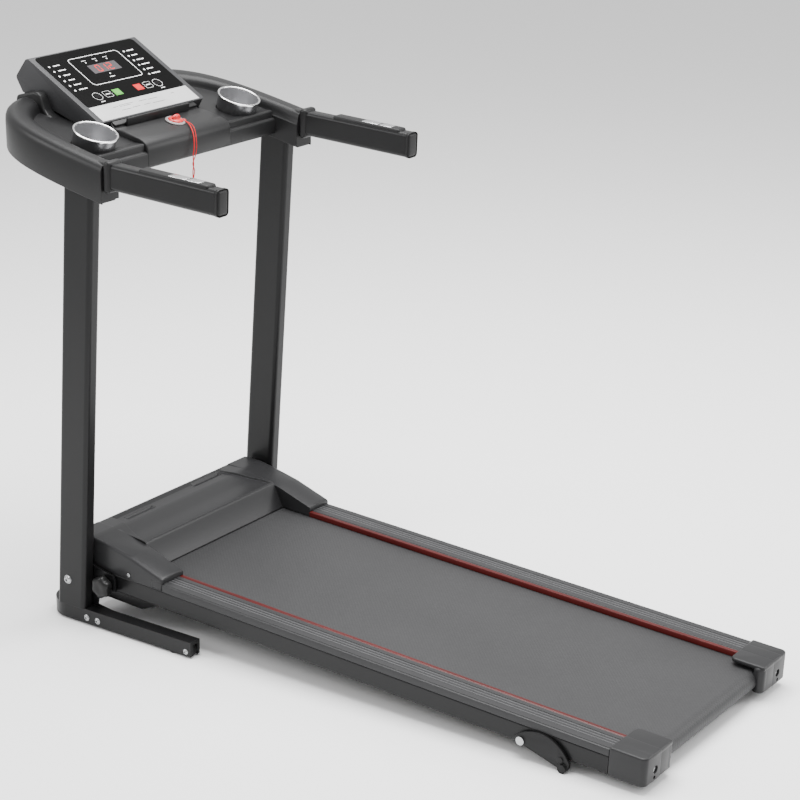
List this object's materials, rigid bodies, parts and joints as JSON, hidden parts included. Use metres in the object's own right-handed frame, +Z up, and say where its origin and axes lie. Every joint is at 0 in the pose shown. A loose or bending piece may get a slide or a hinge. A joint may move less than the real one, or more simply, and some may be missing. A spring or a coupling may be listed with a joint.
{
  "type": "treadmill",
  "caption": "Folding home treadmill: a belt deck with motor housing hinged between two leaning uprights on a U-shaped base, with handlebars and a keypad console.",
  "frame": {"origin": "on the floor, at the middle of the machine's length and width", "axes": "+X to the walker's right, +Y the walking direction towards the console, +Z up"},
  "size_m": [0.619, 1.482, 1.06],
  "materials": {
    "frame_black": "satin powder coat",
    "zinc_steel": "bright zinc",
    "console_black": "fine satin texture",
    "bezel_grey": "satin",
    "overlay_gloss": "glossy film",
    "trim_silver": "brushed film",
    "circuit_green": "solder mask",
    "cap_green": "film",
    "cap_red": "film",
    "cap_black": "film",
    "cup_metal": "satin lacquer",
    "rim_chrome": "polished",
    "arm_plug": "fine texture",
    "contact_steel": "satin",
    "rubber_black": "matt",
    "knob_black": "satin",
    "key_red": "gloss",
    "cord_red": "woven",
    "clip_black": "satin",
    "rail_grey": "ribbed satin",
    "board_wood": "waxed",
    "belt_pvc": "fine diamond emboss",
    "roller_steel": "turned",
    "motor_paint": "gloss",
    "controller_alloy": "cast",
    "cover_grey": "satin",
    "inlet_black": "moulded",
    "rocker_red": "gloss",
    "cap_grey": "satin",
    "foot_black": "satin",
    "strut_black": "semi-gloss",
    "strut_steel": "ground"
  },
  "bodies": {
    "stand": {"base_frame": "frame_black", "base_end_caps": "arm_plug", "base_foot_pads": "rubber_black", "upright_left": "frame_black", "upright_right": "frame_black", "hinge_brackets": "frame_black", "frame_bolts": "zinc_steel", "pivot_bolts": "zinc_steel", "console_crossbar": "frame_black", "handle_arm_left": "frame_black", "handle_arm_right": "frame_black", "arm_end_caps": "arm_plug", "pulse_housings": "arm_plug", "pulse_sensors": "contact_steel", "console_tray": "console_black", "console_lower_shell": "console_black", "console_skirt": "console_black", "tablet_ledge": "console_black", "console_housing": "bezel_grey", "console_overlay": "overlay_gloss", "trim_strip": "trim_silver", "console_board": "circuit_green", "cup_holders": "cup_metal", "cup_rims": "rim_chrome"},
    "deck": {"deck_frame": "frame_black", "side_rail_left": "rail_grey", "side_rail_right": "rail_grey", "running_board": "board_wood", "board_cushions": "rubber_black", "running_belt": "belt_pvc", "roller_axles": "roller_steel", "motor_can": "motor_paint", "drive_belt": "rubber_black", "motor_cover": "cover_grey", "belly_pan": "cover_grey", "motor_controller": "controller_alloy", "power_inlet": "inlet_black", "rear_cap_left": "cap_grey", "rear_cap_right": "cap_grey", "deck_screws": "zinc_steel"},
    "lock_knob": {"lock_knob": "knob_black"},
    "strut_rod": {"strut_rod": "strut_steel"},
    "strut_cylinder": {"strut_cylinder": "strut_black"},
    "drive_roller": {"drive_roller": "roller_steel"},
    "rear_roller": {"rear_roller": "roller_steel"},
    "motor_rotor": {"motor_rotor": "roller_steel"},
    "incline_foot_left": {"incline_foot_left": "foot_black"},
    "incline_foot_right": {"incline_foot_right": "foot_black"},
    "transport_wheel_left": {"transport_wheel_left": "rubber_black"},
    "transport_wheel_right": {"transport_wheel_right": "rubber_black"},
    "safety_key": {"safety_key": "key_red", "lanyard_cord": "cord_red", "lanyard_clip": "clip_black"},
    "power_switch": {"power_switch": "rocker_red"},
    "key_circle_left": {"key_circle_left": "cap_black"},
    "key_mode": {"key_mode": "cap_black"},
    "key_start": {"key_start": "cap_green"},
    "key_stop": {"key_stop": "cap_red"},
    "key_program": {"key_program": "cap_black"},
    "key_circle_right": {"key_circle_right": "cap_black"}
  },
  "joints": [
    {"name": "deck_fold", "type": "hinge", "parent": "stand", "child": "deck", "pos_m": [0, 0.521, 0.087], "axis": [-1, 0, 0], "range_deg": [0, 76]},
    {"name": "strut_swing", "type": "hinge", "parent": "stand", "child": "strut_rod", "pos_m": [0.246, 0.497, 0.047], "axis": [-1, 0, 0], "range_deg": [0, 75.35]},
    {"name": "strut_extend", "type": "slide", "parent": "strut_rod", "child": "strut_cylinder", "axis": [0, -0.9997, -0.0254], "range_m": [0, 0.0575]},
    {"name": "lock_pull", "type": "slide", "parent": "stand", "child": "lock_knob", "axis": [-1, 0, 0], "range_m": [0, 0.008], "stiffness_N_per_m": 800, "springref_m": -0.004},
    {"name": "drive_roller_spin", "type": "hinge", "parent": "deck", "child": "drive_roller", "pos_m": [0, 0.39585, 0.08729], "axis": [1, 0, 0], "continuous": true},
    {"name": "rear_roller_spin", "type": "hinge", "parent": "deck", "child": "rear_roller", "pos_m": [0, -0.70796, 0.03597], "axis": [1, 0, 0], "continuous": true},
    {"name": "motor_spin", "type": "hinge", "parent": "deck", "child": "motor_rotor", "pos_m": [0, 0.479, 0.12909], "axis": [1, 0, 0], "continuous": true},
    {"name": "incline_left", "type": "hinge", "parent": "deck", "child": "incline_foot_left", "pos_m": [-0.2654, -0.49918, 0.03496], "axis": [1, 0, 0], "range_deg": [0, 25]},
    {"name": "incline_right", "type": "hinge", "parent": "deck", "child": "incline_foot_right", "pos_m": [0.2654, -0.49918, 0.03496], "axis": [1, 0, 0], "range_deg": [0, 25]},
    {"name": "wheel_left_spin", "type": "hinge", "parent": "stand", "child": "transport_wheel_left", "pos_m": [-0.2855, 0.227, 0.0125], "axis": [1, 0, 0], "continuous": true},
    {"name": "wheel_right_spin", "type": "hinge", "parent": "stand", "child": "transport_wheel_right", "pos_m": [0.2855, 0.227, 0.0125], "axis": [1, 0, 0], "continuous": true},
    {"name": "safety_key_lift", "type": "slide", "parent": "stand", "child": "safety_key", "axis": [0, -0.2577, 0.9662], "range_m": [0, 0.03]},
    {"name": "switch_rock", "type": "hinge", "parent": "deck", "child": "power_switch", "pos_m": [0.214, 0.5298, 0.13446], "axis": [1, 0, 0], "range_deg": [0, 14]},
    {"name": "press_circle_left", "type": "slide", "parent": "stand", "child": "key_circle_left", "axis": [0, 0.497, -0.8678], "range_m": [0, 0.0006], "stiffness_N_per_m": 1500, "springref_m": -0.0003},
    {"name": "press_mode", "type": "slide", "parent": "stand", "child": "key_mode", "axis": [0, 0.497, -0.8678], "range_m": [0, 0.0006], "stiffness_N_per_m": 1500, "springref_m": -0.0003},
    {"name": "press_start", "type": "slide", "parent": "stand", "child": "key_start", "axis": [0, 0.497, -0.8678], "range_m": [0, 0.0006], "stiffness_N_per_m": 1500, "springref_m": -0.0003},
    {"name": "press_stop", "type": "slide", "parent": "stand", "child": "key_stop", "axis": [0, 0.497, -0.8678], "range_m": [0, 0.0006], "stiffness_N_per_m": 1500, "springref_m": -0.0003},
    {"name": "press_program", "type": "slide", "parent": "stand", "child": "key_program", "axis": [0, 0.497, -0.8678], "range_m": [0, 0.0006], "stiffness_N_per_m": 1500, "springref_m": -0.0003},
    {"name": "press_circle_right", "type": "slide", "parent": "stand", "child": "key_circle_right", "axis": [0, 0.497, -0.8678], "range_m": [0, 0.0006], "stiffness_N_per_m": 1500, "springref_m": -0.0003}
  ],
  "couplings": [
    {"joint": "strut_swing", "follows": "deck_fold", "ratio": 0.99019},
    {"joint": "strut_extend", "follows": "deck_fold", "m_per_rad": 0.043124},
    {"joint": "rear_roller_spin", "follows": "drive_roller_spin", "ratio": 1},
    {"joint": "motor_spin", "follows": "drive_roller_spin", "ratio": 2.4}
  ]
}
